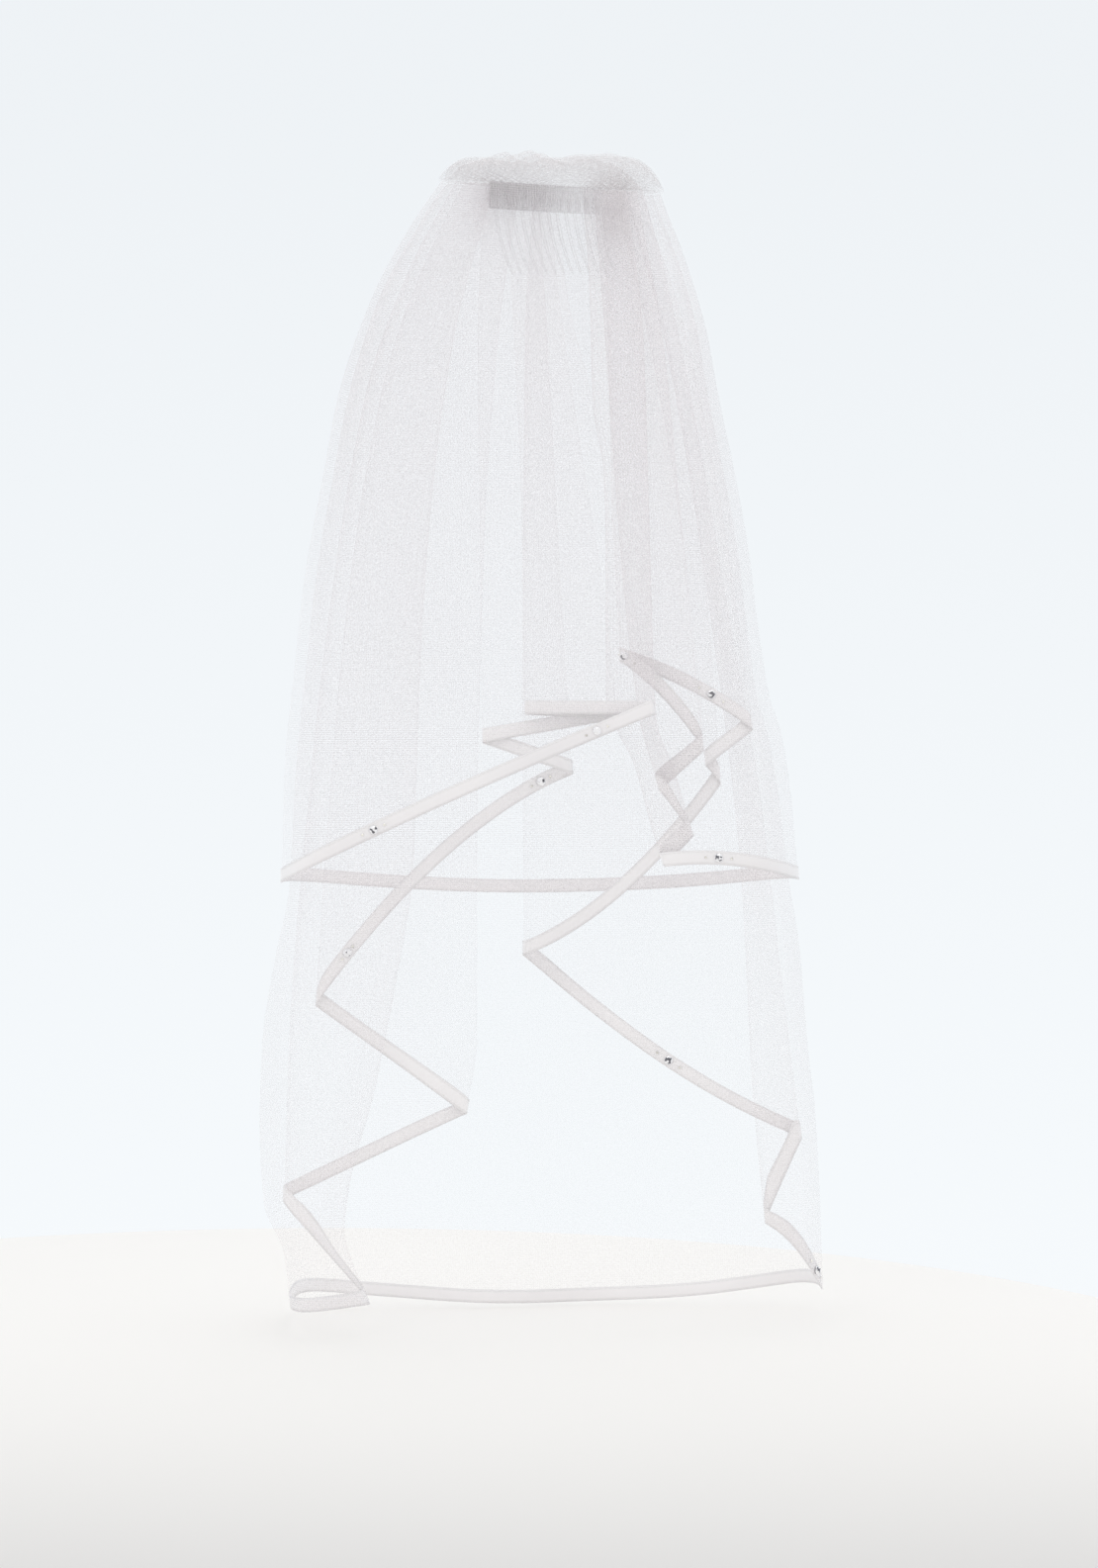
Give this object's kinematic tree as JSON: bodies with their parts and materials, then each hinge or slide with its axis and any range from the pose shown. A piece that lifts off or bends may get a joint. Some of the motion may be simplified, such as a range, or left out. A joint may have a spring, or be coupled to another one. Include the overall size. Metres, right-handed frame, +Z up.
{
  "type": "bridal veil",
  "caption": "Tiered bridal veil of soft sheer net, gathered over a clear hair comb, with ribbon round its edge and ends that roll in on themselves in long loose folds.",
  "frame": {"origin": "the middle of the gathered band behind the comb's bar, where the veil is held", "axes": "+Z up, +X to the right as seen from the side that the comb's teeth face, +Y away from that side, towards the outside of the veil's back"},
  "size_m": [0.4104, 0.2269, 0.8494],
  "materials": {
    "net": "matt, fine sheer net",
    "ribbon": "satin",
    "clear_plastic": "clear, polished"
  },
  "bodies": {
    "root": {"comb": "clear_plastic", "gathered_band": "net", "gathered_head": "net", "upper_tier": "net", "lower_tier_gathers": "net", "lower_tier": "net", "upper_tier_ribbon": "ribbon", "lower_tier_ribbon": "ribbon"}
  },
  "joints": []
}
